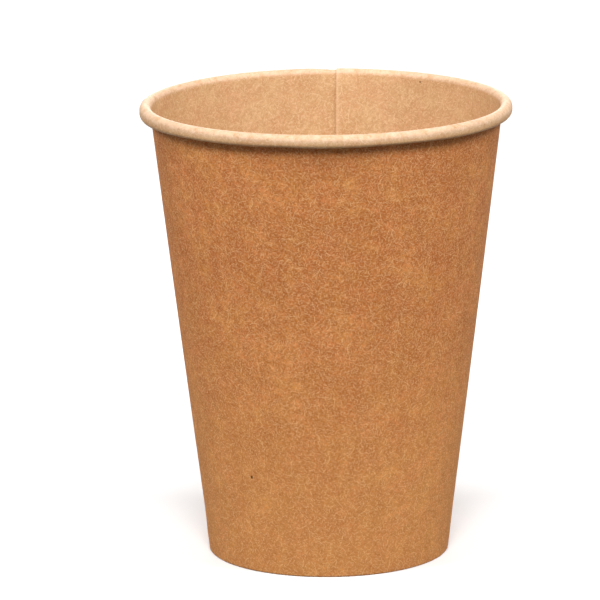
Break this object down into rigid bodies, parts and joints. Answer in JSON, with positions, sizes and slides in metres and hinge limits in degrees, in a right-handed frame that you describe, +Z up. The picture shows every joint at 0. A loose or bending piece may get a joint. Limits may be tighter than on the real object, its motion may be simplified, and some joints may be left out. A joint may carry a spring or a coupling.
{
  "type": "paper coffee cup",
  "caption": "Single-wall paper cup with a rolled rim, an overlapped side seam and a folded hem that holds a recessed base.",
  "frame": {"origin": "middle of the foot, on the surface that the cup stands on", "axes": "+Z up along the cup's axis, seam at the back towards +Y, +X to the right seen from the front"},
  "size_m": [0.09, 0.0899, 0.1108],
  "materials": {
    "kraft_wall_board": "uncoated brown kraft outside, lighter poly-coated board inside",
    "kraft_base_board": "lighter poly-coated board"
  },
  "bodies": {
    "root": {"side_wall": "kraft_wall_board", "base_disc": "kraft_base_board"}
  },
  "joints": []
}
